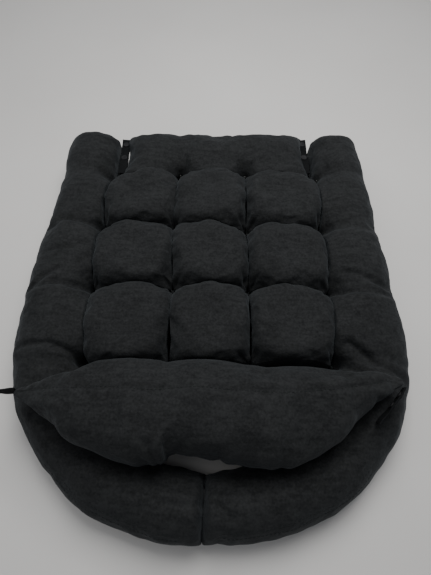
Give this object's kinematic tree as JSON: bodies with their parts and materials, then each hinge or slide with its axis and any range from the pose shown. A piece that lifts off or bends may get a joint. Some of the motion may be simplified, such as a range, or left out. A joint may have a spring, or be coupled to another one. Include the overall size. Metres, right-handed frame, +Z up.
{
  "type": "pet cushion bed",
  "caption": "Flat tufted pet cushion bed with stuffed side bolsters, two front arms that meet, a fold-up head flap and a loose-lying front pillow, joined by press studs.",
  "frame": {"origin": "on the floor, under the middle of the tufted mat's second row seam, midway between the side bolsters", "axes": "+Y to the head end with the fold-up flap, +X to the right seen from above with the head up, +Z up"},
  "size_m": [0.5144, 0.5957, 0.1204],
  "materials": {
    "microsuede": "brushed dark charcoal microsuede",
    "fibre_filling": "loose white polyester fibre",
    "tape": "black woven tape",
    "press_stud": "black moulded press studs",
    "thread": "pale tufting thread",
    "underside_cloth": "black dotted non-slip cloth"
  },
  "bodies": {
    "mat": {"left_bolster_cover": "microsuede", "left_bolster_filling_1": "fibre_filling", "left_bolster_filling_2": "fibre_filling", "left_bolster_filling_3": "fibre_filling", "left_bolster_filling_4": "fibre_filling", "left_bolster_studs": "press_stud", "left_bolster_tape": "tape", "left_underside_tongue": "underside_cloth", "mat_cover": "microsuede", "mat_filling_r1_c1": "fibre_filling", "mat_filling_r1_c2": "fibre_filling", "mat_filling_r1_c3": "fibre_filling", "mat_filling_r2_c1": "fibre_filling", "mat_filling_r2_c2": "fibre_filling", "mat_filling_r2_c3": "fibre_filling", "mat_filling_r3_c1": "fibre_filling", "mat_filling_r3_c2": "fibre_filling", "mat_filling_r3_c3": "fibre_filling", "right_bolster_cover": "microsuede", "right_bolster_filling_1": "fibre_filling", "right_bolster_filling_2": "fibre_filling", "right_bolster_filling_3": "fibre_filling", "right_bolster_filling_4": "fibre_filling", "right_bolster_studs": "press_stud", "right_bolster_tape": "tape", "right_underside_tongue": "underside_cloth", "tufting_ties": "thread", "underside_panel": "underside_cloth"},
    "head_flap": {"head_cover": "microsuede", "head_filling": "fibre_filling", "head_left_studs": "press_stud", "head_left_tape": "tape", "head_right_studs": "press_stud", "head_right_tape": "tape"},
    "front_pillow": {"pillow_cover": "microsuede", "pillow_filling": "fibre_filling", "pillow_left_studs": "press_stud", "pillow_left_tape": "tape", "pillow_right_studs": "press_stud", "pillow_right_tape": "tape"},
    "left_arm": {"left_arm_cover": "microsuede", "left_arm_filling": "fibre_filling", "left_arm_studs": "press_stud", "left_arm_tape": "tape"},
    "right_arm": {"right_arm_cover": "microsuede", "right_arm_filling": "fibre_filling", "right_arm_studs": "press_stud", "right_arm_tape": "tape"}
  },
  "joints": [
    {"name": "head_fold", "type": "hinge", "parent": "mat", "child": "head_flap", "pos_m": [0, 0.208, 0.032], "axis": [1, 0, 0], "range_deg": [0, 90]},
    {"name": "pillow_fold", "type": "hinge", "parent": "mat", "child": "front_pillow", "pos_m": [0, -0.104, 0.081], "axis": [-1, 0, 0], "range_deg": [0, 110]},
    {"name": "left_arm_swing", "type": "hinge", "parent": "mat", "child": "left_arm", "pos_m": [-0.201, -0.1475, 0.0345], "axis": [0, 0, -1], "range_deg": [0, 55]},
    {"name": "right_arm_swing", "type": "hinge", "parent": "mat", "child": "right_arm", "pos_m": [0.201, -0.1475, 0.0345], "axis": [0, 0, 1], "range_deg": [0, 55]}
  ]
}
